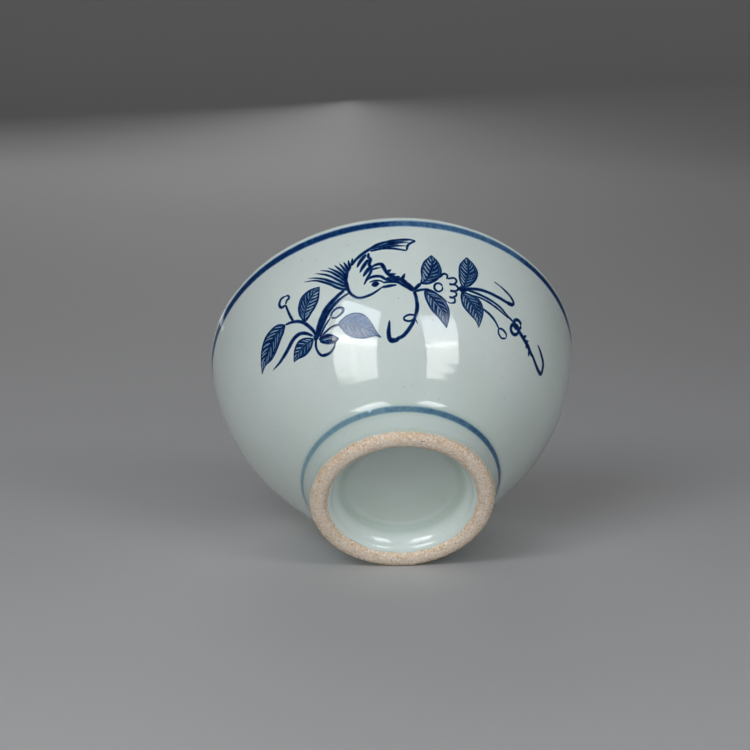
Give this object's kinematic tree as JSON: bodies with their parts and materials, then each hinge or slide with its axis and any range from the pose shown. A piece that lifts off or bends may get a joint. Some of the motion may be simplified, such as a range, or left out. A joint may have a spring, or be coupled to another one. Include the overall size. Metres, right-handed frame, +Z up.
{
  "type": "teacup",
  "caption": "Footed porcelain teacup with a pale celadon glaze, a bare foot ring and a cobalt-blue painted bird on a flowering branch between blue lines.",
  "frame": {"origin": "centre of the foot ring's resting face, on the cup's axis", "axes": "+Z up the cup's axis towards the rim; the painted side faces -Y, so +X is to the right of the painting"},
  "size_m": [0.0902, 0.0902, 0.0512],
  "materials": {
    "fired_clay": "unglazed, fine sandy, toasted orange at the edges",
    "celadon_glaze": "clear glossy glaze, pale grey-green",
    "cobalt_blue": "cobalt brushwork sealed under clear glaze, glossy"
  },
  "bodies": {
    "root": {"bowl_body": "fired_clay", "foot_ring": "fired_clay", "outer_glaze": "celadon_glaze", "inner_glaze": "celadon_glaze", "foot_well_glaze": "celadon_glaze", "rim_line": "cobalt_blue", "foot_line": "cobalt_blue", "bird_body": "cobalt_blue", "bird_tail": "cobalt_blue", "bird_wing": "cobalt_blue", "blossom": "cobalt_blue", "bud_left": "cobalt_blue", "bud_right": "cobalt_blue", "leaf_far_left": "cobalt_blue", "leaf_left_up": "cobalt_blue", "leaf_left_low": "cobalt_blue", "leaf_centre": "cobalt_blue", "leaf_middle_up": "cobalt_blue", "leaf_middle_down": "cobalt_blue", "leaf_right_up": "cobalt_blue", "leaf_right_down": "cobalt_blue", "pod_left": "cobalt_blue", "branch_far_left": "cobalt_blue", "branch_left": "cobalt_blue", "blade_left": "cobalt_blue", "bud_stalk_left": "cobalt_blue", "thorn_twig": "cobalt_blue", "tendril": "cobalt_blue", "stem_right": "cobalt_blue", "stem_right_up": "cobalt_blue", "bud_stalk_right": "cobalt_blue", "hook_right": "cobalt_blue"}
  },
  "joints": []
}
